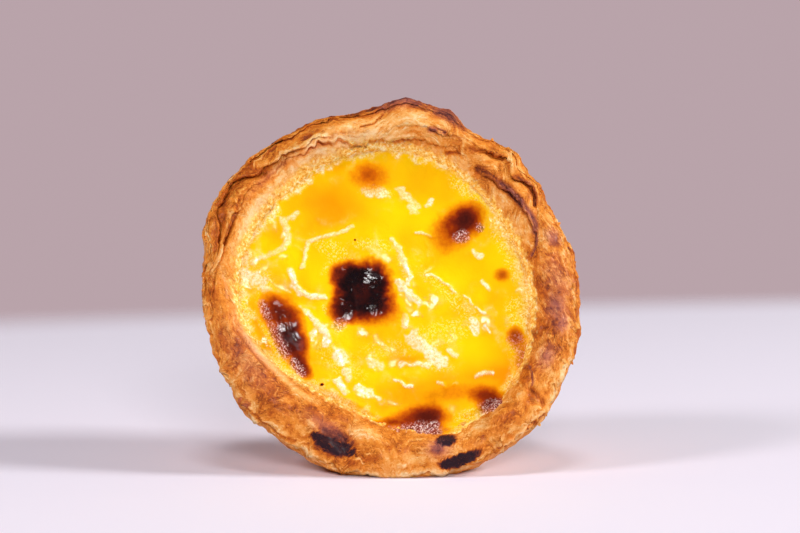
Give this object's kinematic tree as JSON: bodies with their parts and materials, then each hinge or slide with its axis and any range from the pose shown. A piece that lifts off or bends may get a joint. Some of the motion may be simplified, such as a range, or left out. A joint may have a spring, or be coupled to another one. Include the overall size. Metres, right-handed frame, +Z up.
{
  "type": "portuguese custard tart",
  "caption": "Small round custard tart standing on its tapered side: a cup of flaky puff pastry with a thick torn rim, filled with scorched custard.",
  "frame": {"origin": "on the table under the middle of the tart's box, as the tart stands on its tapered side", "axes": "+Z up, the open face with the custard looks towards -Y and leans back, +X to the right seen from the front"},
  "size_m": [0.0766, 0.0517, 0.0732],
  "materials": {
    "pastry": "matte, flaky, golden brown",
    "custard": "glossy baked skin with dark scorched blisters"
  },
  "bodies": {
    "root": {"pastry_shell": "pastry", "custard_filling": "custard"}
  },
  "joints": []
}
